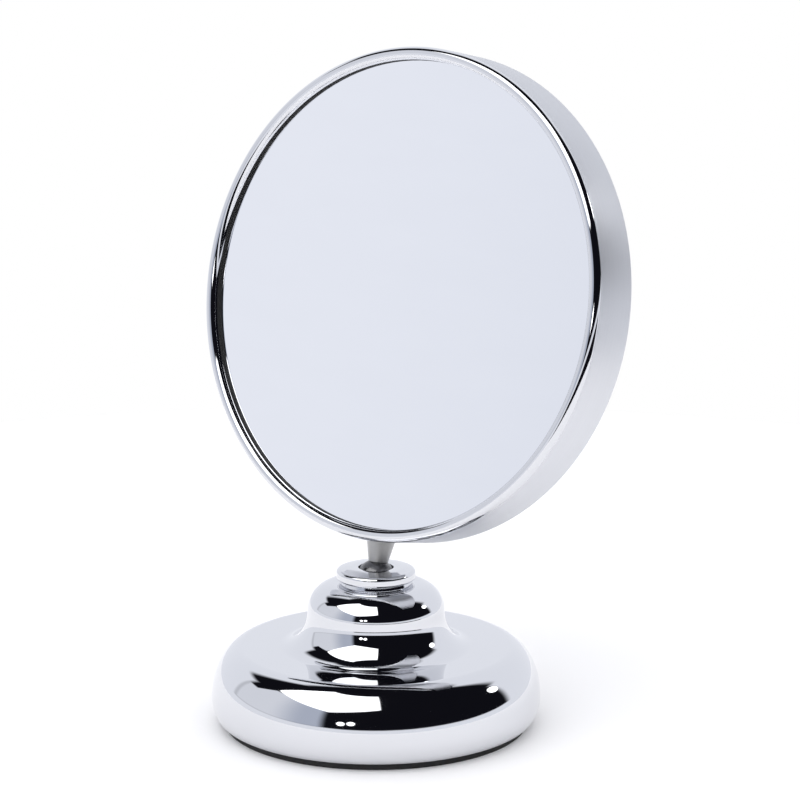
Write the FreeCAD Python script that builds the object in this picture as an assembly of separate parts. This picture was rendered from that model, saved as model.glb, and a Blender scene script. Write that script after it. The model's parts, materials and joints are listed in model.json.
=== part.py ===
import FreeCAD, Part
import math
import os

# Countertop mirror: a round framed mirror on a ball joint above a weighted round base.
# Millimetres, +Z up. The base's axis is Z, its underside is z = 0, and the mirror faces -Y.

V = FreeCAD.Vector
ORIGIN = V(0, 0, 0)
UP = V(0, 0, 1)
BACK = V(0, 1, 0)

# Driving sizes of the base.
BASE_R = 67.5
BASE_WIDEST_Z = 11.6
FOOT_R = 62.0
FOOT_T = 2.4
PLATE_T = 1.5
LIP_R = 62.9
LIP_Z = 2.6
CROWN_R = 54.3
CROWN_Z = 32.8
SHELL_T = 1.5
BALLAST_BOTTOM_Z = 5.0
BALLAST_BOTTOM_R = 58.0
BALLAST_TOP_R = 48.0
PLATE_SCREWS = 3
PLATE_SCREW_RING_R = 44.0
PLATE_SCREW_DEPTH = 8.0
ROD_ABOVE_PLATE = 0.6

# Driving sizes of the neck, the cap and the ball joint.
NECK_R = 28.0
NECK_FOOT_R = 40.0
NECK_TOP_R = 16.4
NECK_WIDEST_Z = 48.0
NECK_TOP_Z = 59.0
NECK_T = 1.2
CAP_R = 16.2
CAP_TOP_Z = 65.5
CAP_CROWN_RISE = 0.6
CAP_EDGE_R = 2.0
CAP_SHOULDER_H = 1.6
CAP_WALL_H = 1.7
CAP_UNDERCUT_H = 1.3
CAP_FACE_R = 12.5
CAP_SKIRT_R = 14.5
CAP_WAIST_R = 14.0
CAP_HOLE_R = 7.2
PIVOT_Z = 60.5
BALL_R = 8.0
BALL_GAP = 0.2
PAD_T = 1.0
PAD_HOLE_DEG = 15.0
PAD_EDGE_DEG = 45.0
SEAT_R = 10.7
SEAT_HOLE_R = 4.0
SEAT_BELOW_PIVOT = 0.5
SOCKET_R = 12.4
SOCKET_BORE_R = 11.0
SOCKET_BOTTOM_Z = 37.0
SOCKET_FLOOR_Z = 41.0
SOCKET_SHOULDER_R = 15.0
SOCKET_SHOULDER_Z = 55.2
SPRING_COUNT = 3
SPRING_R_IN = 5.2
SPRING_R_OUT = 10.6
SPRING_T = 1.0
SPRING_CONE = 0.6

# Driving sizes of the head, measured along the stem (u) and front to back (d) from the ball's centre.
REST_TILT_DEG = 12.0
HEAD_R = 100.0
HEAD_CENTRE_U = 116.0
SEAM_D = -12.2
REAR_D = 9.9
REAR_ROUND = 1.4
REAR_LIP_R = 97.0
BEAD_R = 2.6
BAND_T = 1.2
GLASS_FRONT_D = -10.7
GLASS_R = 96.4
GLASS_T = 3.0
FOAM_INSET = 1.0
FOAM_T = 0.5
BACKING_T = 0.8
RETAINER_T = 1.0
RETAINER_W = 2.5
RETAINER_OPENING = 15.0
SKIRT_R_IN = 96.9
SKIRT_R_OUT = 98.5
SKIRT_BACK_D = -4.4
BALL_FLAT_U = 6.9
STEM_FOOT_R = 4.0
STEM_TOP_R = 6.3
STEM_TAPER_INTO_HEAD = 2.0
STEM_END_U = -2.8
STEM_TOP_U = 40.0
BRACKET_HALF_X = 13.0
BRACKET_LOW_U = 20.4
BRACKET_HIGH_U = 32.0
BRACKET_BACK_D = 5.5
BRACKET_SCREW_X = 8.5
POST_R = 4.0
POST_RING_R = 78.0
POSTS = 4
COVER_R = 96.6
COVER_DOME_R = 92.0
COVER_RISE = 5.0
COVER_T = 1.2
COVER_SCREW_LENGTH = 8.0

# Standard fasteners and clearances.
M8_R = 4.0
M8_NUT_AF = 13.0
M8_NUT_H = 6.5
M6_R = 3.0
M6_NUT_AF = 10.0
M6_NUT_H = 5.0
M4_R = 2.0
M4_HEAD_T = 2.2
WASHER_T = 1.5
LOCK_WASHER_T = 1.4
SLOT_W = 1.0
SLOT_DEPTH = 1.1
CLEARANCE = 0.3
LOOSE_FIT = 0.1
THREAD_FIT = 0.05

# Sizes that follow from the driving ones.
PLATE_R = LIP_R - SHELL_T - CLEARANCE
PLATE_TOP_Z = FOOT_T + PLATE_T
PLATE_SCREW_END_Z = BALLAST_BOTTOM_Z + PLATE_SCREW_DEPTH
SHELL_UNDERSIDE_Z = CROWN_Z - SHELL_T
NUT_POCKET_R = 14.0
NUT_POCKET_TOP_Z = BALLAST_BOTTOM_Z + WASHER_T + M8_NUT_H
SPRING_PITCH = SPRING_T + SPRING_CONE + THREAD_FIT
SEAT_BOTTOM_Z = SOCKET_FLOOR_Z + LOOSE_FIT + SPRING_COUNT * SPRING_PITCH
STACK_BACK_D = GLASS_FRONT_D + GLASS_T + FOAM_T + BACKING_T
COVER_OUTER_D = REAR_D + COVER_RISE
COVER_INNER_D = COVER_OUTER_D - COVER_T

PIVOT = V(0, 0, PIVOT_Z)
HEAD_CENTRE = V(0, 0, PIVOT_Z + HEAD_CENTRE_U)


def save(shape, name):
    """Write one node; its file name is the node's name."""
    shape.exportStep("parts/" + name + ".step")


def tilt_back(shape):
    """Lean a head piece back to its rest position about the ball's centre."""
    shape.rotate(PIVOT, V(1, 0, 0), -REST_TILT_DEG)
    return shape


def line(start, end):
    return Part.LineSegment(start, end).toShape()


def flat_point(r, z):
    """A point of a profile in the X-Z plane."""
    return V(r, 0, z)


def polyline_edges(points):
    pairs = zip(points[:-1], points[1:])
    return [line(flat_point(*a), flat_point(*b)) for a, b in pairs]


def quarter_ellipse(centre, reach_r, reach_z, start_deg, end_deg):
    """Ellipse arc about centre, with semi-axes along r and z, from start_deg to end_deg."""
    points = []
    for angle in (start_deg, (start_deg + end_deg) / 2.0, end_deg):
        a = math.radians(angle)
        points.append(flat_point(centre[0] + reach_r * math.cos(a), centre[1] + reach_z * math.sin(a)))
    if reach_r > reach_z:
        major = flat_point(centre[0] + reach_r, centre[1])
        minor = flat_point(centre[0], centre[1] + reach_z)
    else:
        major = flat_point(centre[0], centre[1] + reach_z)
        minor = flat_point(centre[0] + reach_r, centre[1])
    ellipse = Part.Ellipse(major, minor, flat_point(*centre))
    first = ellipse.parameter(points[0])
    middle = ellipse.parameter(points[1])
    last = ellipse.parameter(points[2])
    turn = 2.0 * math.pi
    if (middle - first) % turn > (last - first) % turn:
        first, last = last, first
    return Part.ArcOfEllipse(ellipse, first, first + (last - first) % turn).toShape()


def revolve(edges, axis_point=ORIGIN, axis=UP):
    """Turn a closed profile a full turn about the axis."""
    wire = Part.Wire(Part.__sortEdges__(edges))
    return Part.Face(wire).revolve(axis_point, axis, 360.0)


def turned(points):
    """Solid of revolution about Z from a closed list of (r, z) corners."""
    return revolve(polyline_edges(points + points[:1]))


def disc(r, z_low, z_high):
    return Part.makeCylinder(r, z_high - z_low, V(0, 0, z_low))


def ring(r_in, r_out, z_low, z_high):
    return disc(r_out, z_low, z_high).cut(disc(r_in, z_low, z_high))


def head_rod(r, d_front, d_back, x=0.0, u=HEAD_CENTRE_U):
    """Cylinder between two depths of the head, at x to the side and u up the stem from the ball's centre."""
    return Part.makeCylinder(r, d_back - d_front, V(x, d_front, PIVOT_Z + u), BACK)


def head_ring(r_in, r_out, d_front, d_back):
    return head_rod(r_out, d_front, d_back).cut(head_rod(r_in, d_front, d_back))


def hex_prism(across_flats, height, z_low):
    corner = across_flats / math.sqrt(3.0)
    points = []
    for i in range(7):
        a = math.radians(60.0 * i)
        points.append(V(corner * math.cos(a), corner * math.sin(a), z_low))
    return Part.Face(Part.makePolygon(points)).extrude(V(0, 0, height))


def ring_places(count, r, first_deg=0.0):
    """Centres of count holes evenly spaced on a circle of radius r."""
    places = []
    for i in range(count):
        a = math.radians(first_deg + 360.0 * i / count)
        places.append((r * math.cos(a), r * math.sin(a)))
    return places


def foot_pad():
    """Rubber disc that the mirror stands on."""
    return disc(FOOT_R, 0, FOOT_T)


def plate_screw(x, y, spare=0.0):
    """Countersunk screw, or with spare the hole that takes it."""
    head = Part.makeCone(2 * M4_R + spare, M4_R + spare, PLATE_T, V(x, y, FOOT_T))
    shank = Part.makeCylinder(M4_R + spare, PLATE_SCREW_END_Z - PLATE_TOP_Z, V(x, y, PLATE_TOP_Z))
    return head.fuse(shank)


def plate_screws():
    screws = [plate_screw(x, y) for x, y in ring_places(PLATE_SCREWS, PLATE_SCREW_RING_R)]
    return Part.makeCompound(screws)


def bottom_plate():
    """Steel disc that closes the base, with countersinks for its screws."""
    plate = disc(PLATE_R, FOOT_T, PLATE_TOP_Z)
    for x, y in ring_places(PLATE_SCREWS, PLATE_SCREW_RING_R):
        plate = plate.cut(plate_screw(x, y, THREAD_FIT))
    return plate


def ballast_weight():
    """Cast iron weight clamped under the top of the base shell."""
    weight = turned([
        (M8_R + CLEARANCE, BALLAST_BOTTOM_Z), (BALLAST_BOTTOM_R, BALLAST_BOTTOM_Z),
        (BALLAST_BOTTOM_R, BASE_WIDEST_Z), (BALLAST_TOP_R, SHELL_UNDERSIDE_Z),
        (M8_R + CLEARANCE, SHELL_UNDERSIDE_Z)])
    weight = weight.cut(disc(NUT_POCKET_R, BALLAST_BOTTOM_Z, NUT_POCKET_TOP_Z))
    hole_depth = PLATE_SCREW_DEPTH + 1.0
    for x, y in ring_places(PLATE_SCREWS, PLATE_SCREW_RING_R):
        hole = Part.makeCylinder(M4_R + THREAD_FIT, hole_depth, V(x, y, BALLAST_BOTTOM_Z))
        weight = weight.cut(hole)
    return weight


def base_shell():
    """Polished round shell: a full-round skirt, a domed shoulder and a flat crown up to the neck."""
    low = (LIP_R, BASE_WIDEST_Z)
    high = (CROWN_R, BASE_WIDEST_Z)
    reach_low = (BASE_R - LIP_R, BASE_WIDEST_Z - LIP_Z)
    reach_high = (BASE_R - CROWN_R, CROWN_Z - BASE_WIDEST_Z)
    edges = [
        quarter_ellipse(low, reach_low[0], reach_low[1], -90, 0),
        quarter_ellipse(high, reach_high[0], reach_high[1], 0, 90),
        quarter_ellipse(high, reach_high[0] - SHELL_T, reach_high[1] - SHELL_T, 0, 90),
        quarter_ellipse(low, reach_low[0] - SHELL_T, reach_low[1] - SHELL_T, -90, 0)]
    edges += polyline_edges([
        (CROWN_R, CROWN_Z), (NECK_FOOT_R, CROWN_Z), (NECK_FOOT_R, SHELL_UNDERSIDE_Z),
        (CROWN_R, SHELL_UNDERSIDE_Z)])
    edges += polyline_edges([
        (LIP_R, LIP_Z + SHELL_T), (LIP_R - SHELL_T, LIP_Z + SHELL_T), (LIP_R - SHELL_T, LIP_Z),
        (LIP_R, LIP_Z)])
    return revolve(edges)


def neck_dome():
    """Domed neck that sweeps out at its foot to lie flush in the crown of the base shell."""
    top = (NECK_TOP_R, NECK_WIDEST_Z)
    top_reach = (NECK_R - NECK_TOP_R, NECK_TOP_Z - NECK_WIDEST_Z)
    foot = (NECK_FOOT_R, NECK_WIDEST_Z)
    foot_reach = (NECK_FOOT_R - NECK_R, NECK_WIDEST_Z - CROWN_Z)
    hole_r = SOCKET_R + LOOSE_FIT
    edges = [
        quarter_ellipse(top, top_reach[0], top_reach[1], 0, 90),
        quarter_ellipse(top, top_reach[0] - NECK_T, top_reach[1] - NECK_T, 0, 90),
        quarter_ellipse(foot, foot_reach[0], foot_reach[1], 180, 270),
        quarter_ellipse(foot, foot_reach[0] + NECK_T, foot_reach[1] + SHELL_T, 180, 270)]
    edges += polyline_edges([
        (NECK_TOP_R, NECK_TOP_Z), (hole_r, NECK_TOP_Z), (hole_r, NECK_TOP_Z - NECK_T),
        (NECK_TOP_R, NECK_TOP_Z - NECK_T)])
    edges += polyline_edges([(NECK_FOOT_R, CROWN_Z), (NECK_FOOT_R, SHELL_UNDERSIDE_Z)])
    return revolve(edges)


def sphere_arc(radius, start, end):
    """Arc about the ball's centre; start and end are (r, height above the centre)."""
    first = math.atan2(start[1], start[0])
    last = math.atan2(end[1], end[0])
    points = []
    for a in (first, (first + last) / 2.0, last):
        points.append(flat_point(radius * math.cos(a), PIVOT_Z + radius * math.sin(a)))
    return Part.Arc(*points).toShape()


def top_cap():
    """Screw-on cap whose rounded flange tightens the ball in its socket."""
    pocket_r = BALL_R + BALL_GAP
    rim_z = math.sqrt(pocket_r ** 2 - CAP_HOLE_R ** 2)
    thread_r = SOCKET_R + THREAD_FIT
    flange_r = CAP_R - CAP_EDGE_R
    face_z = CAP_TOP_Z - CAP_CROWN_RISE
    wall_top_z = face_z - CAP_SHOULDER_H
    wall_low_z = wall_top_z - CAP_WALL_H
    waist_z = wall_low_z - CAP_UNDERCUT_H
    edges = [
        quarter_ellipse((flange_r, wall_low_z), CAP_EDGE_R, CAP_UNDERCUT_H, -90, 0),
        quarter_ellipse((flange_r, wall_top_z), CAP_EDGE_R, CAP_SHOULDER_H, 0, 90),
        sphere_arc(pocket_r, (CAP_HOLE_R, rim_z), (pocket_r, 0))]
    edges += polyline_edges([(CAP_R, wall_low_z), (CAP_R, wall_top_z)])
    edges += polyline_edges([
        (flange_r, face_z), (CAP_FACE_R, CAP_TOP_Z), (CAP_HOLE_R, CAP_TOP_Z), (CAP_HOLE_R, PIVOT_Z + rim_z)])
    edges += polyline_edges([
        (pocket_r, PIVOT_Z), (thread_r, PIVOT_Z), (thread_r, NECK_TOP_Z), (CAP_SKIRT_R, NECK_TOP_Z),
        (CAP_WAIST_R, waist_z), (flange_r, waist_z)])
    return revolve(edges)


def socket_body():
    """Threaded tube inside the neck that holds the ball, its seat and its springs."""
    body = disc(SOCKET_R, SOCKET_BOTTOM_Z, PIVOT_Z - LOOSE_FIT)
    body = body.fuse(disc(SOCKET_SHOULDER_R, SOCKET_SHOULDER_Z, NECK_TOP_Z - NECK_T))
    body = body.cut(disc(SOCKET_BORE_R, SOCKET_FLOOR_Z, PIVOT_Z))
    return body.cut(disc(M8_R + THREAD_FIT, SOCKET_BOTTOM_Z, SOCKET_FLOOR_Z))


def disc_springs():
    """Stack of cone washers that press the seat against the ball, facing alternately up and down."""
    washers = []
    for i in range(SPRING_COUNT):
        low = SOCKET_FLOOR_Z + THREAD_FIT + i * SPRING_PITCH
        inner = low if i % 2 else low + SPRING_CONE
        outer = low + SPRING_CONE if i % 2 else low
        washers.append(turned([
            (SPRING_R_IN, inner), (SPRING_R_OUT, outer), (SPRING_R_OUT, outer + SPRING_T),
            (SPRING_R_IN, inner + SPRING_T)]))
    return Part.makeCompound(washers)


def tie_rod():
    """Stud from the socket's floor down through the weight."""
    return disc(M8_R, PLATE_TOP_Z + ROD_ABOVE_PLATE, SOCKET_FLOOR_Z - LOOSE_FIT)


def tie_washer():
    low = NUT_POCKET_TOP_Z - WASHER_T
    return ring(M8_R + LOOSE_FIT, NUT_POCKET_R - 1.0, low, NUT_POCKET_TOP_Z)


def tie_nut():
    nut = hex_prism(M8_NUT_AF, M8_NUT_H, NUT_POCKET_TOP_Z - WASHER_T - M8_NUT_H)
    return nut.cut(disc(M8_R + THREAD_FIT, 0, NUT_POCKET_TOP_Z))


def lower_seat():
    """Cup under the ball that turns on the springs as the mirror swivels."""
    seat = disc(SEAT_R, SEAT_BOTTOM_Z, PIVOT_Z - SEAT_BELOW_PIVOT)
    seat = seat.cut(Part.makeSphere(BALL_R + 2 * BALL_GAP + PAD_T, PIVOT))
    return seat.cut(disc(SEAT_HOLE_R, SEAT_BOTTOM_Z, PIVOT_Z))


def friction_pad():
    """Dished washer between the ball and its seat, lined up with the stem."""
    inner_r = BALL_R + BALL_GAP
    outer_r = inner_r + PAD_T
    corners = []
    for radius in (inner_r, outer_r):
        for angle in (PAD_HOLE_DEG, PAD_EDGE_DEG):
            a = math.radians(angle - 90.0)
            corners.append((radius * math.cos(a), radius * math.sin(a)))
    inner_low, inner_high, outer_low, outer_high = corners
    edges = [sphere_arc(inner_r, inner_low, inner_high), sphere_arc(outer_r, outer_low, outer_high)]
    for (r_in, z_in), (r_out, z_out) in ((inner_low, outer_low), (inner_high, outer_high)):
        edges.append(line(flat_point(r_in, PIVOT_Z + z_in), flat_point(r_out, PIVOT_Z + z_out)))
    return tilt_back(revolve(edges))


def ball():
    """Steel ball with a flat and a threaded hole for the stem."""
    solid = Part.makeSphere(BALL_R, PIVOT)
    solid = solid.cut(disc(BALL_R, PIVOT_Z + BALL_FLAT_U, PIVOT_Z + BALL_R + 1))
    hole_end = PIVOT_Z + STEM_END_U - CLEARANCE
    return tilt_back(solid.cut(disc(M6_R + THREAD_FIT, hole_end, PIVOT_Z + BALL_R)))


def stem():
    """Tapered stem with a threaded end in the ball and another inside the head."""
    taper_top_u = HEAD_CENTRE_U - HEAD_R + STEM_TAPER_INTO_HEAD
    foot = V(0, 0, PIVOT_Z + BALL_FLAT_U)
    taper = Part.makeCone(STEM_FOOT_R, STEM_TOP_R, taper_top_u - BALL_FLAT_U, foot)
    taper = taper.cut(head_rod(HEAD_R + THREAD_FIT, SEAM_D, REAR_D))
    shank = disc(M6_R, PIVOT_Z + STEM_END_U, PIVOT_Z + STEM_TOP_U)
    return tilt_back(taper.fuse(shank))


def head_point(r, d):
    """A point of a head profile, r from the head's axis and d deep."""
    return HEAD_CENTRE + V(0, d, r)


def head_turned(corners, curves=()):
    """Solid of revolution about the head's axis from straight (r, d) corners in a row and any arcs."""
    points = [head_point(r, d) for r, d in corners]
    edges = [line(a, b) for a, b in zip(points[:-1], points[1:])]
    for curve in curves:
        edges.append(Part.Arc(*[head_point(r, d) for r, d in curve]).toShape())
    return revolve(edges, HEAD_CENTRE, BACK)


def rim_band():
    """Deep satin side band of the head, turned in at the back, with a hole for the stem."""
    inner_r = HEAD_R - BAND_T
    round_r = HEAD_R - REAR_ROUND
    round_d = REAR_D - REAR_ROUND
    middle = REAR_ROUND * math.sqrt(0.5)
    corner = [(HEAD_R, round_d), (round_r + middle, round_d + middle), (round_r, REAR_D)]
    band = head_turned([
        (round_r, REAR_D), (REAR_LIP_R, REAR_D), (REAR_LIP_R, REAR_D - BAND_T), (inner_r, REAR_D - BAND_T),
        (inner_r, SEAM_D), (HEAD_R, SEAM_D), (HEAD_R, round_d)], [corner])
    band = band.cut(disc(M6_R + CLEARANCE, PIVOT_Z, HEAD_CENTRE.z))
    return tilt_back(band)


def bezel():
    """Polished half-round bead in front of the glass, with a skirt that pushes into the band."""
    inner_r = HEAD_R - 2 * BEAD_R
    bead = [(HEAD_R, SEAM_D), (HEAD_R - BEAD_R, SEAM_D - BEAD_R), (inner_r, SEAM_D)]
    return tilt_back(head_turned([
        (inner_r, SEAM_D), (SKIRT_R_IN, SEAM_D), (SKIRT_R_IN, SKIRT_BACK_D), (SKIRT_R_OUT, SKIRT_BACK_D),
        (SKIRT_R_OUT, SEAM_D), (HEAD_R, SEAM_D)], [bead]))


def glass_seal():
    """Black rubber ring between the bead and the front of the glass."""
    return tilt_back(head_ring(HEAD_R - 2 * BEAD_R, SKIRT_R_IN - LOOSE_FIT, SEAM_D, GLASS_FRONT_D))


def mirror_glass():
    """Round glass, silvered and painted on its back."""
    return tilt_back(head_rod(GLASS_R, GLASS_FRONT_D, GLASS_FRONT_D + GLASS_T))


def foam_pad():
    """Thin foam disc that cushions the glass against its backing plate."""
    front = GLASS_FRONT_D + GLASS_T
    return tilt_back(head_rod(GLASS_R - FOAM_INSET, front, front + FOAM_T))


def bracket_screw_places():
    u = (BRACKET_LOW_U + BRACKET_HIGH_U) / 2.0
    return [(-BRACKET_SCREW_X, u), (BRACKET_SCREW_X, u)]


def backing_plate():
    """Steel disc behind the glass that carries the stem bracket and the cover posts."""
    front = STACK_BACK_D - BACKING_T
    plate = head_rod(GLASS_R, front, STACK_BACK_D)
    for x, u in bracket_screw_places():
        plate = plate.cut(head_rod(M4_R + THREAD_FIT, front, STACK_BACK_D, x, u))
    return tilt_back(plate)


def retaining_ring():
    """Split spring ring in the skirt that holds the glass stack, open at the stem."""
    outer_r = SKIRT_R_IN - LOOSE_FIT
    solid = head_ring(outer_r - RETAINER_W, outer_r, STACK_BACK_D, STACK_BACK_D + RETAINER_T)
    corner = V(-RETAINER_OPENING, STACK_BACK_D, PIVOT_Z)
    opening = Part.makeBox(2 * RETAINER_OPENING, RETAINER_T, BRACKET_HIGH_U, corner)
    return tilt_back(solid.cut(opening))


def stem_bracket():
    """Block behind the glass that the stem screws into."""
    depth = BRACKET_BACK_D - STACK_BACK_D
    corner = V(-BRACKET_HALF_X, STACK_BACK_D, PIVOT_Z + BRACKET_LOW_U)
    block = Part.makeBox(2 * BRACKET_HALF_X, depth, BRACKET_HIGH_U - BRACKET_LOW_U, corner)
    block = block.cut(disc(M6_R + THREAD_FIT, PIVOT_Z, PIVOT_Z + BRACKET_HIGH_U))
    for x, u in bracket_screw_places():
        block = block.cut(head_rod(M4_R + LOOSE_FIT, STACK_BACK_D, BRACKET_BACK_D, x, u))
    return tilt_back(block)


def pan_head_screw(x, u, tip_d, face_d):
    """Slotted screw along the head's depth, its head on the face and its tip forward."""
    head_end_d = face_d + M4_HEAD_T
    screw = head_rod(M4_R, tip_d, face_d, x, u).fuse(head_rod(2 * M4_R, face_d, head_end_d, x, u))
    corner = V(x - 2 * M4_R, head_end_d - SLOT_DEPTH, PIVOT_Z + u - SLOT_W / 2.0)
    return screw.cut(Part.makeBox(4 * M4_R, SLOT_DEPTH, SLOT_W, corner))


def bracket_screws():
    tip = STACK_BACK_D - BACKING_T
    screws = [pan_head_screw(x, u, tip, BRACKET_BACK_D) for x, u in bracket_screw_places()]
    return tilt_back(Part.makeCompound(screws))


def lock_washer():
    low = PIVOT_Z + BRACKET_HIGH_U
    return tilt_back(ring(M6_R + LOOSE_FIT, M6_NUT_AF / 2.0, low, low + LOCK_WASHER_T))


def stem_nut():
    low = PIVOT_Z + BRACKET_HIGH_U + LOCK_WASHER_T
    nut = hex_prism(M6_NUT_AF, M6_NUT_H, low)
    return tilt_back(nut.cut(disc(M6_R + THREAD_FIT, PIVOT_Z, low + M6_NUT_H)))


def post_places():
    places = []
    for x, y in ring_places(POSTS, POST_RING_R, 180.0 / POSTS):
        places.append((x, HEAD_CENTRE_U + y))
    return places


def cover_depth(r, middle_d):
    """Depth, at radius r, of a face of the domed cover whose middle is at middle_d."""
    curve_r = (COVER_DOME_R ** 2 + COVER_RISE ** 2) / (2.0 * COVER_RISE)
    return middle_d - (curve_r - math.sqrt(curve_r ** 2 - r ** 2))


def cover_posts():
    """Threaded posts between the backing plate and the rear cover."""
    end_d = cover_depth(POST_RING_R + POST_R, COVER_INNER_D) - THREAD_FIT
    posts = []
    for x, u in post_places():
        post = head_rod(POST_R, STACK_BACK_D, end_d, x, u)
        posts.append(post.cut(head_rod(M4_R + THREAD_FIT, end_d - COVER_SCREW_LENGTH, end_d, x, u)))
    return tilt_back(Part.makeCompound(posts))


def rear_cover():
    """Shallow domed pan with a flat rim that closes the back of the head."""
    faces = []
    for middle_d in (COVER_OUTER_D, COVER_INNER_D):
        half_r = COVER_DOME_R / 2.0
        faces.append([(0.0, middle_d), (half_r, cover_depth(half_r, middle_d)),
                      (COVER_DOME_R, middle_d - COVER_RISE)])
    outer, inner = faces
    outer_rim = outer[-1][1]
    inner_rim = inner[-1][1]
    cover = revolve(
        [Part.Arc(*[head_point(r, d) for r, d in face]).toShape() for face in faces]
        + [line(head_point(COVER_DOME_R, outer_rim), head_point(COVER_R, outer_rim)),
           line(head_point(COVER_R, outer_rim), head_point(COVER_R, inner_rim)),
           line(head_point(COVER_R, inner_rim), head_point(COVER_DOME_R, inner_rim)),
           line(head_point(*outer[0]), head_point(*inner[0]))],
        HEAD_CENTRE, BACK)
    for x, u in post_places():
        cover = cover.cut(head_rod(M4_R + LOOSE_FIT, 0.0, COVER_OUTER_D, x, u))
    return tilt_back(cover)


def cover_screws():
    face_d = cover_depth(POST_RING_R - 2 * M4_R, COVER_OUTER_D) + THREAD_FIT
    tip = cover_depth(POST_RING_R + POST_R, COVER_INNER_D) - COVER_SCREW_LENGTH + 1.0
    screws = [pan_head_screw(x, u, tip, face_d) for x, u in post_places()]
    return tilt_back(Part.makeCompound(screws))


PIECES = [
    foot_pad, bottom_plate, plate_screws, ballast_weight, base_shell, neck_dome, tie_rod, tie_washer, tie_nut,
    socket_body, disc_springs, top_cap, lower_seat, friction_pad, ball, stem, rim_band, bezel, glass_seal,
    mirror_glass, foam_pad, backing_plate, retaining_ring, stem_bracket, bracket_screws, lock_washer, stem_nut,
    cover_posts, rear_cover, cover_screws]

os.makedirs("parts", exist_ok=True)
for piece in PIECES:
    save(piece(), piece.__name__)
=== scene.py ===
"""Looks of the countertop mirror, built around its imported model. Metres, +Z up, the mirror faces -Y."""
import json
import math

import bmesh
import bpy
from mathutils import Matrix, Vector


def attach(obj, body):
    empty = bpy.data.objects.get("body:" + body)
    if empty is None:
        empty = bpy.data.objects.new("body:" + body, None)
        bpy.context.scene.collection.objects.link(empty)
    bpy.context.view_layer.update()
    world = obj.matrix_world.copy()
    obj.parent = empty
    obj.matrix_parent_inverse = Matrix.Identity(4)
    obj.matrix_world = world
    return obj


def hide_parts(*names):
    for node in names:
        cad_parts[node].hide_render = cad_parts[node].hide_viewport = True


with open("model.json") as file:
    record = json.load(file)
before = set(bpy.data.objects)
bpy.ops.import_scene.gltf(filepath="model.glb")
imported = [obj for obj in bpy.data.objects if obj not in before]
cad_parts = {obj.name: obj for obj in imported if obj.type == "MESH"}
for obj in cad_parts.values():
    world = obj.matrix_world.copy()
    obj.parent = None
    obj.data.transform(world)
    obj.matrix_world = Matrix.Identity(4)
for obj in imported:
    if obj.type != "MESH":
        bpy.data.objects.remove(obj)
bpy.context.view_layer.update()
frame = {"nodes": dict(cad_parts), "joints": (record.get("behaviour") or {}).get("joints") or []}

MM = 0.001
SEGMENTS = 256
STEM_SEGMENTS = 96
TURNED_UV = "turned"
POLE_MERGE = 1e-7
CREASE = math.radians(35.0)

# Shape of the base and neck, in millimetres; the same sizes as the CAD.
SKIRT_CENTRE = (62.9, 11.6)
SKIRT_REACH = (4.6, 9.0)
SHOULDER_CENTRE = (54.3, 11.6)
SHOULDER_REACH = (13.2, 21.2)
NECK_FOOT_CENTRE = (40.0, 48.0)
NECK_FOOT_REACH = (12.0, 15.2)
DOME_CENTRE = (16.4, 48.0)
DOME_REACH = (11.6, 11.0)
DOME_HOLE_R = 12.5
SHELL_T = 1.5
NECK_T = 1.2

# Cap.
NECK_TOP_Z = 59.0
PIVOT_Z = 60.5
CAP_SKIRT_R = 14.5
CAP_WAIST_R = 14.0
CAP_THREAD_R = 12.45
CAP_POCKET_R = 8.2
CAP_EDGE_R = 14.2
CAP_EDGE_REACH = 2.0
CAP_WALL = (61.6, 63.3)
CAP_ROUND_LOW = 1.3
CAP_ROUND_HIGH = 1.6
CAP_FACE = (12.5, 65.5)
CAP_HOLE_R = 7.2

# Head, with depths measured from the stem's axis.
HEAD_R = 100.0
HEAD_CENTRE_U = 116.0
SEAM_D = -12.2
BEAD_R = 2.6
GLASS_FRONT_D = -10.7
GLASS_BACK_D = -7.7
GLASS_R = 96.4
SKIRT_IN_R = 96.9
SKIRT_OUT_R = 98.5
SKIRT_BACK_D = -4.4
REAR_D = 9.9
REAR_ROUND = 1.4
REAR_LIP_R = 97.0
BAND_T = 1.2
COVER_R = 96.6
COVER_DOME_R = 92.0
COVER_RISE = 5.0
COVER_T = 1.2
COVER_ROWS = 32
EDGE_ROUND = 0.3

# Stem, with heights from the ball's centre.
STEM_FOOT = (4.0, 6.9)
STEM_TOP = (6.3, 18.0)
STEM_BAND_U = 16.2
STEM_SHANK_R = 3.0
STEM_ENDS = (-2.8, 40.0)

# Head axis: the ball's centre and the rest tilt.
PIVOT = Vector(frame["joints"][0]["pos_m"])
REST_TILT = math.radians(12.0)

# Camera: direction it looks from, distance to its aim, lens and the point it aims at.
VIEW_AZIMUTH = math.radians(38.7)
VIEW_ELEVATION = math.radians(12.3)
VIEW_DISTANCE = 1.2
LENS_MM = 134.1
SENSOR_MM = 36.0
AIM_SIDE = 9.8 * MM
AIM_HEIGHT = 135.0 * MM

# Looks: where most of a noise lies, the turn that draws reflections out across a lathe's lines, and the
# places of a Mix node's two colours among its inputs.
NOISE_SPAN = (0.3, 0.7)
ACROSS_LINES = 0.25
MIX_COLOR_A = 6
MIX_COLOR_B = 7

# Round table top that the object stands on.
FLOOR_R = 0.6
FLOOR_SIDES = 128


# ---------------------------------------------------------------- profiles and meshes

def arc(centre, reach_r, reach_z, start_deg, end_deg, steps=24):
    """Points (r, z) of an ellipse arc, in millimetres."""
    points = []
    for i in range(steps + 1):
        a = math.radians(start_deg + (end_deg - start_deg) * i / steps)
        points.append((centre[0] + reach_r * math.cos(a), centre[1] + reach_z * math.sin(a)))
    return points


def shrink(reach, wall_r, wall_z=None):
    """Reach of the inner face of a wall, given that of its outer face."""
    return reach[0] - wall_r, reach[1] - (wall_r if wall_z is None else wall_z)


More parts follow.
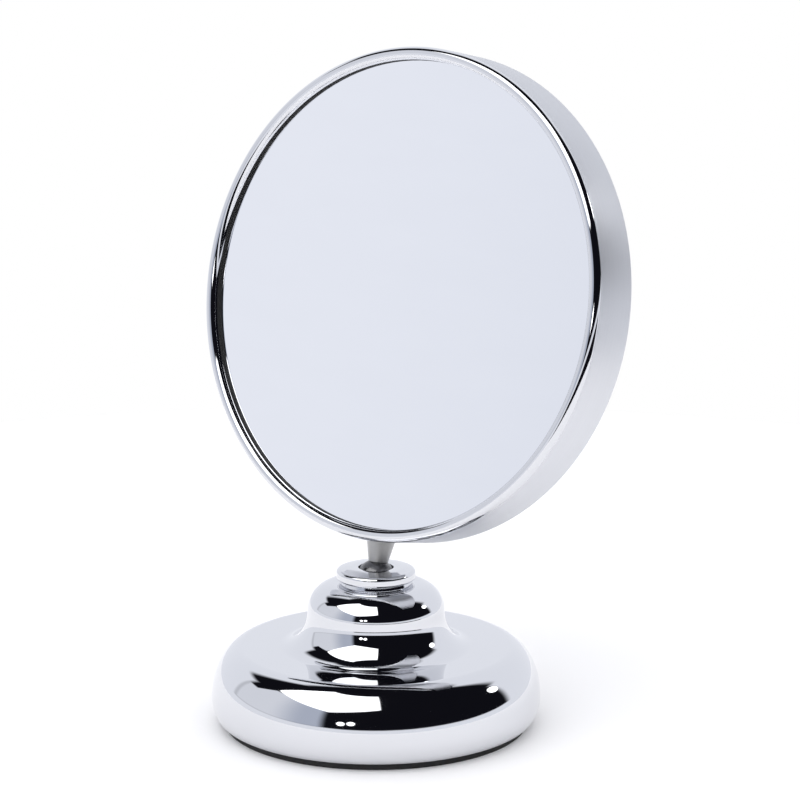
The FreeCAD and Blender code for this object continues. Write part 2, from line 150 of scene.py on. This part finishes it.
def round_corner(before, corner, after, radius, steps=4):
    """Points that replace a corner of a profile by a small round of about that radius."""
    b, c, a = Vector(before), Vector(corner), Vector(after)
    start = c + (b - c).normalized() * radius
    end = c + (a - c).normalized() * radius
    points = []
    for i in range(steps + 1):
        t = i / steps
        p = start * (1 - t) ** 2 + c * 2 * t * (1 - t) + end * t ** 2
        points.append((p.x, p.y))
    return points


def lathe(name, profile, place=Matrix.Identity(4), closed=True, segments=SEGMENTS):
    """Mesh of a profile of (r, z) millimetres turned about Z, with u round it and v in metres along it."""
    verts = []
    rows = len(profile)
    for i in range(segments):
        a = 2 * math.pi * i / segments
        for r, z in profile:
            verts.append(place @ Vector((r * MM * math.cos(a), r * MM * math.sin(a), z * MM)))
    strips = rows if closed else rows - 1
    faces = []
    for i in range(segments):
        j = (i + 1) % segments
        for k in range(strips):
            m = (k + 1) % rows
            faces.append((i * rows + k, j * rows + k, j * rows + m, i * rows + m))
    mesh = bpy.data.meshes.new(name)
    mesh.from_pydata(verts, [], faces)
    lengths = [0.0]
    for k in range(rows):
        a, b = profile[k], profile[(k + 1) % rows]
        lengths.append(lengths[-1] + math.hypot(b[0] - a[0], b[1] - a[1]) * MM)
    uv = mesh.uv_layers.new(name=TURNED_UV)
    loop = 0
    for i in range(segments):
        for k in range(strips):
            for u, v in ((i, k), (i + 1, k), (i + 1, k + 1), (i, k + 1)):
                uv.data[loop].uv = (u / segments, lengths[v])
                loop += 1
    for polygon in mesh.polygons:
        polygon.use_smooth = True
    obj = bpy.data.objects.new(name, mesh)
    bpy.context.scene.collection.objects.link(obj)
    clean_mesh(obj)
    return obj


def clean_mesh(obj):
    """Join the points at a lathe's poles, point all faces outwards and keep sharp corners crisp."""
    bm = bmesh.new()
    bm.from_mesh(obj.data)
    bmesh.ops.remove_doubles(bm, verts=bm.verts, dist=POLE_MERGE)
    bmesh.ops.recalc_face_normals(bm, faces=bm.faces)
    for edge in bm.edges:
        edge.smooth = edge.calc_face_angle(0.0) < CREASE
    bm.to_mesh(obj.data)
    bm.free()


def head_place():
    """Matrix that lays a lathe's Z along the head's depth axis, at its rest tilt."""
    up = Vector((0, math.sin(REST_TILT), math.cos(REST_TILT)))
    centre = PIVOT + up * HEAD_CENTRE_U * MM
    return Matrix.Translation(centre) @ Matrix.Rotation(-math.pi / 2 - REST_TILT, 4, "X")


def stem_place():
    """Matrix that lays a lathe's Z along the stem, with its origin at the ball's centre."""
    return Matrix.Translation(PIVOT) @ Matrix.Rotation(-REST_TILT, 4, "X")


# ---------------------------------------------------------------- node helpers

class Nodes:
    """Short-hand for building chains of nodes in one node tree."""

    def __init__(self, tree):
        self.tree = tree

    def add(self, kind):
        return self.tree.nodes.new(kind)

    def put(self, socket, value):
        """Link a socket into another, or give it a plain value."""
        if isinstance(value, (int, float)):
            socket.default_value = value
        elif isinstance(value, tuple):
            socket.default_value = value if len(value) == len(socket.default_value) else (*value, 1)
        else:
            self.tree.links.new(value, socket)

    def math(self, operation, *values):
        node = self.add("ShaderNodeMath")
        node.operation = operation
        for socket, value in zip(node.inputs, values):
            self.put(socket, value)
        return node.outputs[0]

    def span(self, value, low, high, to_low=0.0, to_high=1.0, smooth=False):
        """Map a value from one range to another, clamped."""
        node = self.add("ShaderNodeMapRange")
        if smooth:
            node.interpolation_type = "SMOOTHSTEP"
        for name, given in (("Value", value), ("From Min", low), ("From Max", high),
                            ("To Min", to_low), ("To Max", to_high)):
            self.put(node.inputs[name], given)
        return node.outputs[0]

    def by_noise(self, noise, at_low, at_high):
        """A value that follows a noise over the range where most of it lies."""
        return self.span(noise, *NOISE_SPAN, at_low, at_high)

    def step(self, value, edge, width):
        """0 below the edge and 1 above it, with a soft change of that width."""
        if isinstance(edge, (int, float)):
            return self.span(value, edge - width / 2, edge + width / 2, smooth=True)
        low = self.math("SUBTRACT", edge, width / 2)
        high = self.math("ADD", edge, width / 2)
        return self.span(value, low, high, smooth=True)

    def between(self, value, low, high, width):
        """1 between two edges and 0 outside them, with soft changes."""
        above = self.step(value, low, width)
        below = self.math("SUBTRACT", 1.0, self.step(value, high, width))
        return self.both(above, below)

    def both(self, a, b):
        return self.math("MULTIPLY", a, b)

    def either(self, a, b):
        return self.math("MAXIMUM", a, b)

    def mix(self, mask, below, above):
        node = self.add("ShaderNodeMix")
        node.data_type = "RGBA"
        self.put(node.inputs["Factor"], mask)
        self.put(node.inputs[MIX_COLOR_A], below)
        self.put(node.inputs[MIX_COLOR_B], above)
        return node.outputs[2]

    def object_coords(self, scale=(1, 1, 1)):
        """Coordinates in the object; a small scale packs a pattern closer along that axis."""
        coords = self.add("ShaderNodeTexCoord")
        mapping = self.add("ShaderNodeMapping")
        mapping.vector_type = "TEXTURE"
        mapping.inputs["Scale"].default_value = scale
        self.tree.links.new(coords.outputs["Object"], mapping.inputs["Vector"])
        return mapping.outputs[0]

    def turned_coords(self, per_turn, per_metre):
        """Coordinates round and along a lathe, scaled so that noise in them makes turning lines."""
        uv = self.add("ShaderNodeUVMap")
        uv.uv_map = TURNED_UV
        mapping = self.add("ShaderNodeMapping")
        mapping.inputs["Scale"].default_value = (per_turn, per_metre, 1)
        self.tree.links.new(uv.outputs[0], mapping.inputs["Vector"])
        return mapping.outputs[0]

    def noise(self, coords, scale, detail=2.0, roughness=0.5):
        node = self.add("ShaderNodeTexNoise")
        for name, value in (("Vector", coords), ("Scale", scale), ("Detail", detail),
                            ("Roughness", roughness)):
            self.put(node.inputs[name], value)
        return node.outputs["Fac"]

    def cells(self, coords, scale, output="Distance"):
        node = self.add("ShaderNodeTexVoronoi")
        for name, value in (("Vector", coords), ("Scale", scale)):
            self.put(node.inputs[name], value)
        return node.outputs[output]

    def stretch(self, amount):
        """Draw the shader's reflections out across the turning lines of a lathe."""
        shader = self.tree.nodes["Principled BSDF"]
        shader.inputs["Anisotropic"].default_value = amount
        shader.inputs["Anisotropic Rotation"].default_value = ACROSS_LINES
        tangent = self.add("ShaderNodeTangent")
        tangent.direction_type = "UV_MAP"
        tangent.uv_map = TURNED_UV
        self.put(shader.inputs["Tangent"], tangent.outputs[0])

    def bump(self, height, strength, distance):
        node = self.add("ShaderNodeBump")
        for name, value in (("Height", height), ("Strength", strength), ("Distance", distance)):
            self.put(node.inputs[name], value)
        return node.outputs[0]


# ---------------------------------------------------------------- materials

def material(name, metallic):
    """A new material, its node helper and a function that fills in colour, roughness and normal."""
    mat = bpy.data.materials.new(name)
    mat.use_nodes = True
    tree = mat.node_tree
    shader = tree.nodes["Principled BSDF"]
    shader.inputs["Metallic"].default_value = metallic
    n = Nodes(tree)

    def fill(color, roughness, normal=None):
        n.put(shader.inputs["Base Color"], color)
        n.put(shader.inputs["Roughness"], roughness)
        if normal is not None:
            n.put(shader.inputs["Normal"], normal)
        return mat

    return n, fill


def chrome_material():
    """Bright plating with the faint waves of polishing, thin haze and hair-fine rub marks."""
    n, fill = material("chrome_polished", 1.0)
    place = n.object_coords()
    haze = n.noise(place, 22.0, 4.0)
    rubs = n.noise(n.object_coords(scale=(1, 1, 0.04)), 900.0, 2.0)
    waves = n.noise(place, 60.0, 1.0)
    color = n.mix(haze, (0.695, 0.702, 0.726), (0.715, 0.723, 0.754))
    smooth = n.span(haze, 0.35, 0.75, 0.02, 0.05)
    rubbed = n.span(rubs, 0.62, 0.75, 0.0, 0.03)
    return fill(color, n.math("ADD", smooth, rubbed), n.bump(waves, 0.06, 0.0004))


def satin_material():
    """Side band brushed round and round, with brighter and duller passes."""
    n, fill = material("satin_band", 1.0)
    n.stretch(0.4)
    fine = n.noise(n.turned_coords(14.0, 9000.0), 1.0, 3.0, 0.6)
    passes = n.noise(n.turned_coords(5.0, 700.0), 1.0, 2.0)
    color = n.mix(passes, (0.655, 0.665, 0.700), (0.725, 0.735, 0.765))
    roughness = n.math("ADD", n.by_noise(passes, 0.36, 0.44), n.by_noise(fine, -0.04, 0.04))
    return fill(color, roughness, n.bump(fine, 0.18, 0.00006))


def mirror_material():
    """Silvered glass with the faintest wipe marks."""
    n, fill = material("mirror_silvered", 1.0)
    wipes = n.noise(n.object_coords(scale=(1, 1, 0.35)), 30.0, 3.0)
    color = n.mix(wipes, (0.895, 0.905, 0.935), (0.915, 0.925, 0.955))
    return fill(color, n.span(wipes, 0.55, 0.8, 0.0, 0.015))


def stem_material():
    """Turned steel whose fine lines round it draw reflections out along it, with a little wear."""
    n, fill = material("stem_steel", 1.0)
    n.stretch(0.9)
    lines = n.noise(n.turned_coords(4.0, 6000.0), 1.0, 2.0)
    wear = n.noise(n.object_coords(), 300.0, 3.0)
    color = n.mix(wear, (0.36, 0.357, 0.355), (0.50, 0.497, 0.495))
    return fill(color, n.by_noise(wear, 0.32, 0.42), n.bump(lines, 0.12, 0.00005))


def ball_painted_shade_material():
    """Ground steel, its colour kept dark as painted shade in the socket's mouth, with darker rub marks from
    turning in its socket.
    """
    n, fill = material("ball_steel_painted_shade", 1.0)
    marks = n.noise(n.object_coords(scale=(1, 1, 0.3)), 500.0, 3.0)
    # Painted shade: the steel's colour is kept dark so that the ball looks shaded in the socket's mouth;
    # the rub marks only vary it.
    color = n.mix(marks, (0.10, 0.10, 0.105), (0.18, 0.18, 0.185))
    return fill(color, n.by_noise(marks, 0.12, 0.30))


def rubber_and_seal_shade_material():
    n, fill = material("rubber_black_and_seal_shade", 0.0)
    place = n.object_coords()
    grain = n.noise(place, 2500.0, 3.0)
    dust = n.noise(place, 90.0, 4.0)
    # Black rubber; on the glass seal this black is also painted shade for the gap where the bead meets the
    # glass.
    color = n.mix(n.span(dust, 0.5, 0.8), (0.010, 0.010, 0.011), (0.022, 0.022, 0.023))
    return fill(color, n.by_noise(grain, 0.62, 0.85), n.bump(grain, 0.3, 0.0001))


def rear_cover_material():
    """Spun sheet: fine rings about its middle that draw reflections out along its radii."""
    n, fill = material("cover_spun", 1.0)
    n.stretch(0.8)
    rings = n.noise(n.turned_coords(3.0, 5000.0), 1.0, 2.0)
    passes = n.noise(n.turned_coords(2.0, 260.0), 1.0, 2.0)
    cloud = n.noise(n.object_coords(), 14.0, 3.0)
    color = n.mix(cloud, (0.54, 0.545, 0.57), (0.64, 0.645, 0.67))
    return fill(color, n.by_noise(passes, 0.28, 0.42), n.bump(rings, 0.25, 0.00008))


def zinc_material():
    """Zinc plating with its grain of pale and darker flakes."""
    n, fill = material("zinc_plated", 1.0)
    place = n.object_coords()
    flakes = n.cells(place, 420.0, "Color")
    stain = n.noise(place, 60.0, 4.0)
    color = n.mix(flakes, (0.52, 0.53, 0.56), (0.66, 0.67, 0.68))
    return fill(color, n.by_noise(stain, 0.28, 0.5), n.bump(stain, 0.08, 0.0002))


def screw_material():
    n, fill = material("screw_plated", 1.0)
    place = n.object_coords()
    stain = n.noise(place, 700.0, 3.0)
    color = n.mix(stain, (0.50, 0.50, 0.51), (0.68, 0.68, 0.69))
    return fill(color, n.by_noise(stain, 0.18, 0.34), n.bump(stain, 0.08, 0.00005))


def spring_material():
    """Oiled spring steel, dark with brown and blue temper colours."""
    n, fill = material("spring_tempered", 1.0)
    place = n.object_coords()
    temper = n.noise(place, 140.0, 2.0)
    oil = n.noise(place, 500.0, 3.0)
    color = n.mix(temper, (0.16, 0.12, 0.09), (0.13, 0.15, 0.20))
    return fill(color, n.by_noise(oil, 0.2, 0.45))


def brass_material():
    n, fill = material("brass_turned", 1.0)
    lines = n.noise(n.object_coords(scale=(1, 1, 0.02)), 60.0, 2.0)
    tarnish = n.noise(n.object_coords(), 120.0, 4.0)
    color = n.mix(tarnish, (0.72, 0.55, 0.26), (0.58, 0.40, 0.17))
    return fill(color, n.by_noise(tarnish, 0.22, 0.4), n.bump(lines, 0.2, 0.0001))


def acetal_material():
    n, fill = material("acetal_natural", 0.0)
    cloud = n.noise(n.object_coords(), 260.0, 3.0)
    color = n.mix(cloud, (0.78, 0.77, 0.72), (0.86, 0.85, 0.82))
    return fill(color, n.by_noise(cloud, 0.32, 0.46), n.bump(cloud, 0.05, 0.0001))


def iron_material():
    """Sand-cast iron: coarse skin, dark with a little rust."""
    n, fill = material("iron_cast", 0.7)
    place = n.object_coords()
    skin = n.noise(place, 700.0, 5.0, 0.65)
    rust = n.noise(place, 45.0, 4.0)
    color = n.mix(n.span(rust, 0.55, 0.75), (0.075, 0.075, 0.08), (0.14, 0.075, 0.045))
    return fill(color, n.by_noise(skin, 0.55, 0.8), n.bump(skin, 0.5, 0.0006))


def foam_material():
    n, fill = material("foam_closed_cell", 0.0)
    pores = n.cells(n.object_coords(), 1500.0)
    color = n.mix(pores, (0.10, 0.10, 0.105), (0.24, 0.24, 0.25))
    return fill(color, n.span(pores, 0.0, 0.6, 0.95, 0.8), n.bump(pores, 0.4, 0.0002))


def die_cast_material():
    n, fill = material("zinc_die_cast", 0.9)
    place = n.object_coords()
    flow = n.noise(place, 130.0, 4.0)
    sand = n.noise(place, 2200.0, 2.0)
    color = n.mix(flow, (0.42, 0.43, 0.45), (0.54, 0.55, 0.57))
    return fill(color, n.by_noise(flow, 0.42, 0.58), n.bump(sand, 0.15, 0.0001))


def floor_material():
    n, fill = material("floor_pale", 0.0)
    tone = n.noise(n.object_coords(), 2.0, 2.0)
    return fill(n.mix(tone, (0.90, 0.90, 0.91), (0.91, 0.91, 0.92)), 0.9)


# ---------------------------------------------------------------- pieces in place of CAD nodes

def base_and_neck():
    """The shell's skirt and shoulder, the crown, and the neck that sweeps up from it, as one surface."""
    skirt_in = shrink(SKIRT_REACH, SHELL_T)
    shoulder_in = shrink(SHOULDER_REACH, SHELL_T)
    foot_in = shrink(NECK_FOOT_REACH, -NECK_T, -SHELL_T)
    dome_in = shrink(DOME_REACH, NECK_T)
    dome_top = DOME_CENTRE[1] + DOME_REACH[1]
    lip = (SKIRT_CENTRE[0] - SHELL_T, SKIRT_CENTRE[1] - SKIRT_REACH[1])
    outer = arc(SKIRT_CENTRE, *SKIRT_REACH, -90, 0)
    outer += arc(SHOULDER_CENTRE, *SHOULDER_REACH, 0, 90, steps=48)[1:]
    outer += arc(NECK_FOOT_CENTRE, *NECK_FOOT_REACH, 270, 180, steps=48)
    outer += arc(DOME_CENTRE, *DOME_REACH, 0, 90, steps=32)[1:]
    inner = [(DOME_HOLE_R, dome_top), (DOME_HOLE_R, dome_top - NECK_T)]
    inner += arc(DOME_CENTRE, *dome_in, 90, 0, steps=12)
    inner += arc(NECK_FOOT_CENTRE, *foot_in, 180, 270, steps=12)[1:]
    inner += arc(SHOULDER_CENTRE, *shoulder_in, 90, 0, steps=12)
    inner += arc(SKIRT_CENTRE, *skirt_in, 0, -90, steps=12)[1:]
    inner += [(lip[0], lip[1] + SHELL_T), lip]
    return lathe("base_and_neck", outer + inner)


def cap():
    """Cap with a rounded flange, a narrow waist below it and a softened hole for the stem."""
    wall_low, wall_high = CAP_WALL
    face_r, top = CAP_FACE
    ball_side = PIVOT_Z + math.sqrt(CAP_POCKET_R ** 2 - CAP_HOLE_R ** 2)
    outer = [(CAP_SKIRT_R, NECK_TOP_Z), (CAP_WAIST_R, wall_low - CAP_ROUND_LOW)]
    outer += arc((CAP_EDGE_R, wall_low), CAP_EDGE_REACH, CAP_ROUND_LOW, -90, 0, steps=12)
    outer += arc((CAP_EDGE_R, wall_high), CAP_EDGE_REACH, CAP_ROUND_HIGH, 0, 90, steps=16)
    outer += [(face_r, top)]
    outer += round_corner((face_r, top), (CAP_HOLE_R, top), (CAP_HOLE_R, ball_side), EDGE_ROUND)
    inner = [(CAP_HOLE_R, ball_side), (CAP_POCKET_R, PIVOT_Z), (CAP_THREAD_R, PIVOT_Z),
             (CAP_THREAD_R, NECK_TOP_Z)]
    return lathe("cap", outer + inner)


def bezel_ring():
    """Half-round bead in front of the glass, with the skirt behind it."""
    profile = arc((HEAD_R - BEAD_R, SEAM_D), BEAD_R, BEAD_R, 0, -180, steps=40)
    profile += [(SKIRT_IN_R, SEAM_D), (SKIRT_IN_R, SKIRT_BACK_D), (SKIRT_OUT_R, SKIRT_BACK_D),
                (SKIRT_OUT_R, SEAM_D)]
    return lathe("bezel_ring", profile, head_place())


def side_band():
    """Side of the head, rounded over into a lip at the back."""
    inner_r = HEAD_R - BAND_T
    round_centre = (HEAD_R - REAR_ROUND, REAR_D - REAR_ROUND)
    profile = [(inner_r, SEAM_D)]
    profile += round_corner((inner_r, SEAM_D), (HEAD_R, SEAM_D), (HEAD_R, 0), EDGE_ROUND / 2)
    profile += arc(round_centre, REAR_ROUND, REAR_ROUND, 0, 90, steps=12)
    profile += round_corner((round_centre[0], REAR_D), (REAR_LIP_R, REAR_D), (REAR_LIP_R, REAR_D - BAND_T),
                            EDGE_ROUND)
    profile += [(REAR_LIP_R, REAR_D - BAND_T), (inner_r, REAR_D - BAND_T)]
    return lathe("side_band", profile, head_place())


def glass_disc():
    """Round glass with eased edges."""
    edge_r = GLASS_R - EDGE_ROUND
    profile = [(0, GLASS_FRONT_D), (edge_r, GLASS_FRONT_D), (GLASS_R, GLASS_FRONT_D + EDGE_ROUND),
               (GLASS_R, GLASS_BACK_D - EDGE_ROUND), (edge_r, GLASS_BACK_D), (0, GLASS_BACK_D)]
    return lathe("mirror_face", profile, head_place(), closed=False)


def stem_piece():
    """Tapered stem with its threaded ends."""
    shank_low, shank_high = STEM_ENDS
    foot_r, foot_u = STEM_FOOT
    top_r, top_u = STEM_TOP
    band_r = foot_r + (top_r - foot_r) * (STEM_BAND_U - foot_u) / (top_u - foot_u)
    profile = [(0, shank_low), (STEM_SHANK_R, shank_low), (STEM_SHANK_R, foot_u)]
    profile += round_corner((STEM_SHANK_R, foot_u), STEM_FOOT, STEM_TOP, EDGE_ROUND)
    profile += [(band_r, STEM_BAND_U), (STEM_SHANK_R, STEM_BAND_U), (STEM_SHANK_R, shank_high),
                (0, shank_high)]
    return lathe("stem_taper", profile, stem_place(), closed=False, segments=STEM_SEGMENTS)


def back_cover():
    """Domed pan with a rolled rim; its screw holes are under the screw heads."""
    curve_r = (COVER_DOME_R ** 2 + COVER_RISE ** 2) / (2 * COVER_RISE)
    outer = []
    inner = []
    for i in range(COVER_ROWS + 1):
        r = COVER_DOME_R * i / COVER_ROWS
        drop = curve_r - math.sqrt(curve_r ** 2 - r ** 2)
        outer.append((r, REAR_D + COVER_RISE - drop))
        inner.append((r, REAR_D + COVER_RISE - COVER_T - drop))
    rim = round_corner(outer[-1], (COVER_R, REAR_D), (COVER_R, REAR_D - COVER_T), EDGE_ROUND)
    rim += round_corner((COVER_R, REAR_D), (COVER_R, REAR_D - COVER_T), inner[-1], EDGE_ROUND)
    return lathe("back_cover", outer + rim + inner[::-1], head_place(), closed=False)


def finish_piece(obj, mat, body, slot, *nodes):
    """Give a piece its material, hang it on its body's empty and hide the CAD nodes that it stands in for.
    """
    obj.data.materials.append(mat)
    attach(obj, body)
    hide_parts(*nodes)


def build_pieces():
    """Build the turned pieces afresh, each in place of its CAD node."""
    chrome = chrome_material()
    finish_piece(base_and_neck(), chrome, "base", "chrome", "base_shell", "neck_dome")
    finish_piece(cap(), chrome, "base", "chrome", "top_cap")
    finish_piece(bezel_ring(), chrome, "head", "chrome", "bezel")
    finish_piece(side_band(), satin_material(), "head", "satin_steel", "rim_band")
    finish_piece(glass_disc(), mirror_material(), "head", "mirror", "mirror_glass")
    finish_piece(stem_piece(), stem_material(), "head", "stem_steel", "stem")
    finish_piece(back_cover(), rear_cover_material(), "head", "satin_steel", "rear_cover")


def dress_nodes():
    """Give the CAD nodes that are kept their materials."""
    dressed = (
        (ball_painted_shade_material(), ("ball",)),
        # The foot pad is black rubber; on the glass seal the black ring is also painted shade for the gap
        # between bead and glass.
        (rubber_and_seal_shade_material(), ("foot_pad", "glass_seal")),
        (iron_material(), ("ballast_weight",)),
        (brass_material(), ("socket_body",)),
        (foam_material(), ("foam_pad",)),
        (die_cast_material(), ("stem_bracket",)),
        (zinc_material(), ("bottom_plate", "tie_rod", "tie_washer", "tie_nut", "backing_plate",
                           "lock_washer", "stem_nut", "cover_posts")),
        (screw_material(), ("plate_screws", "bracket_screws", "cover_screws")),
        (spring_material(), ("disc_springs", "retaining_ring")),
        (acetal_material(), ("lower_seat", "friction_pad")))
    for mat, names in dressed:
        for name in names:
            for slot in frame["nodes"][name].material_slots:
                slot.material = mat


# ---------------------------------------------------------------- floor, light and camera

def floor_disc():
    """Round pale table top; what lies beyond its edge shows in the polished metal."""
    bpy.ops.mesh.primitive_circle_add(vertices=FLOOR_SIDES, radius=FLOOR_R, fill_type="NGON")
    obj = bpy.context.object
    obj.name = "floor"
    obj.data.materials.append(floor_material())


# What stands round the object, in degrees of azimuth and elevation seen from it; azimuth 0 is the camera.
# A name that ends in SOFT is the width over which an edge fades.
DARK_AZIMUTH = (-116.0, 105.0)
DARK_AZIMUTH_SOFT = 8.0
DARK_LOW = 3.0
DARK_LOW_SOFT = 1.0
DARK_WIDER_AZIMUTH = (-138.0, 112.0)
DARK_WIDER_AZIMUTH_SOFT = 14.0
DARK_WIDER_ABOVE = 34.0
DARK_WIDER_ABOVE_SOFT = 5.0
DARK_ROUND_ABOVE = 60.0
DARK_ROUND_ABOVE_SOFT = 7.0
DARK_BELOW_AZIMUTH = (-36.0, 80.0)
DARK_BELOW_AZIMUTH_SOFT = 6.0
DARK_BELOW = (-40.0, -3.0)
DARK_BELOW_SOFT = 1.0
PANEL_AZIMUTH = (-116.0, -38.0)
PANEL_AZIMUTH_SOFT = 8.0
PANEL_TOP = 28.0
PANEL_TOP_BY_WINDOW = 40.0
PANEL_TOP_SOFT = 2.0
PANEL_RISE_AZIMUTH = (-104.0, -92.0)
PANEL_PALE_BEYOND = -66.0
PANEL_PALE_SOFT = 30.0
WINDOW_AZIMUTH = (-92.0, 4.0)
WINDOW_LOWEST = (-35.0, 28.0)
WINDOW_LOW_SLOPE = 0.25
WINDOW_TOP = 74.0
WINDOW_SOFT = 2.0
# Each lamp: azimuth, elevation and radius.
LAMPS = ((-24.0, 11.0, 2.5), (-17.0, 12.0, 2.5), (101.0, 27.0, 4.5))
LAMP_SOFT = 1.6

# Colours and strengths of their light.
SURROUND = (0.95, 0.97, 1.03)
DARK = (0.006, 0.006, 0.009)
PANEL = (0.52, 0.56, 0.66)
PANEL_PALE = (0.85, 0.87, 0.93)
WINDOW_LIGHT = 2.4
LAMP_LIGHT = 5.0
FLOOR_LIGHT = (1.24, 1.24, 1.26)
BACKDROP = (1.0, 1.0, 1.0)


def directions(n):
    """Azimuth and elevation in degrees of what a ray meets, with azimuth 0 at the camera."""
    coords = n.add("ShaderNodeTexCoord")
    turn = n.add("ShaderNodeMapping")
    turn.inputs["Rotation"].default_value = (0, 0, -VIEW_AZIMUTH)
    n.put(turn.inputs["Vector"], coords.outputs["Generated"])
    split = n.add("ShaderNodeSeparateXYZ")
    n.put(split.inputs[0], turn.outputs[0])
    x, y, z = split.outputs
    azimuth = n.math("DEGREES", n.math("ARCTAN2", x, n.math("MULTIPLY", y, -1.0)))
    return azimuth, n.math("DEGREES", n.math("ARCSINE", z))


def dark_mask(n, azimuth, elevation):
    """The dark opening in front, wider higher up, closed overhead, and the dark beyond the table's edge."""
    front = n.both(n.between(azimuth, *DARK_AZIMUTH, DARK_AZIMUTH_SOFT),
                   n.step(elevation, DARK_LOW, DARK_LOW_SOFT))
    wider = n.both(n.between(azimuth, *DARK_WIDER_AZIMUTH, DARK_WIDER_AZIMUTH_SOFT),
                   n.step(elevation, DARK_WIDER_ABOVE, DARK_WIDER_ABOVE_SOFT))
    overhead = n.step(elevation, DARK_ROUND_ABOVE, DARK_ROUND_ABOVE_SOFT)
    below = n.both(n.between(azimuth, *DARK_BELOW_AZIMUTH, DARK_BELOW_AZIMUTH_SOFT),
                   n.between(elevation, *DARK_BELOW, DARK_BELOW_SOFT))
    return n.either(n.either(n.either(front, wider), overhead), below)


def panel_mask(n, azimuth, elevation):
    """A panel in the dark opening that rises towards the window."""
    top = n.span(azimuth, *PANEL_RISE_AZIMUTH, PANEL_TOP, PANEL_TOP_BY_WINDOW)
    return n.both(n.between(azimuth, *PANEL_AZIMUTH, PANEL_AZIMUTH_SOFT),
                  n.between(elevation, DARK_LOW, top, PANEL_TOP_SOFT))


def window_mask(n, azimuth, elevation):
    """A window light whose lower edge is lowest at one azimuth and slopes up from there."""
    lowest_azimuth, lowest = WINDOW_LOWEST
    away = n.math("ABSOLUTE", n.math("SUBTRACT", azimuth, lowest_azimuth))
    low = n.math("ADD", lowest, n.math("MULTIPLY", away, WINDOW_LOW_SLOPE))
    return n.both(n.between(azimuth, *WINDOW_AZIMUTH, WINDOW_SOFT),
                  n.between(elevation, low, WINDOW_TOP, WINDOW_SOFT))


def lamp_mask(n, azimuth, elevation, lamp):
    """A small round lamp."""
    lamp_azimuth, lamp_elevation, radius = lamp
    across = n.math("MULTIPLY", n.math("SUBTRACT", azimuth, lamp_azimuth),
                    math.cos(math.radians(lamp_elevation)))
    along = n.math("SUBTRACT", elevation, lamp_elevation)
    distance = n.math("SQRT", n.math("ADD", n.both(across, across), n.both(along, along)))
    return n.math("SUBTRACT", 1.0, n.step(distance, radius, LAMP_SOFT))


def studio_world():
    """White room with a dark opening in front that holds a window light, a grey panel and small lamps."""
    world = bpy.data.worlds.new("studio")
    bpy.context.scene.world = world
    world.use_nodes = True
    n = Nodes(world.node_tree)
    azimuth, elevation = directions(n)
    panel_color = n.mix(n.step(azimuth, PANEL_PALE_BEYOND, PANEL_PALE_SOFT), PANEL_PALE, PANEL)
    color = n.mix(dark_mask(n, azimuth, elevation), SURROUND, DARK)
    color = n.mix(panel_mask(n, azimuth, elevation), color, panel_color)
    color = n.mix(window_mask(n, azimuth, elevation), color, (WINDOW_LIGHT,) * 3)
    for lamp in LAMPS:
        color = n.mix(lamp_mask(n, azimuth, elevation, lamp), color, (LAMP_LIGHT,) * 3)
    path = n.add("ShaderNodeLightPath")
    color = n.mix(path.outputs["Is Diffuse Ray"], color, FLOOR_LIGHT)
    color = n.mix(path.outputs["Is Camera Ray"], color, BACKDROP)
    n.put(n.tree.nodes["Background"].inputs["Color"], color)


def camera():
    data = bpy.data.cameras.new("camera")
    data.sensor_width = SENSOR_MM
    data.lens = LENS_MM
    obj = bpy.data.objects.new("camera", data)
    bpy.context.scene.collection.objects.link(obj)
    aim = Vector((AIM_SIDE * math.cos(VIEW_AZIMUTH), AIM_SIDE * math.sin(VIEW_AZIMUTH), AIM_HEIGHT))
    back = Vector((math.sin(VIEW_AZIMUTH) * math.cos(VIEW_ELEVATION),
                   -math.cos(VIEW_AZIMUTH) * math.cos(VIEW_ELEVATION), math.sin(VIEW_ELEVATION)))
    obj.location = aim + back * VIEW_DISTANCE
    obj.rotation_euler = (math.pi / 2 - VIEW_ELEVATION, 0, VIEW_AZIMUTH)
    bpy.context.scene.camera = obj


build_pieces()
dress_nodes()
floor_disc()
studio_world()
camera()
bpy.context.scene.view_settings.view_transform = "Standard"
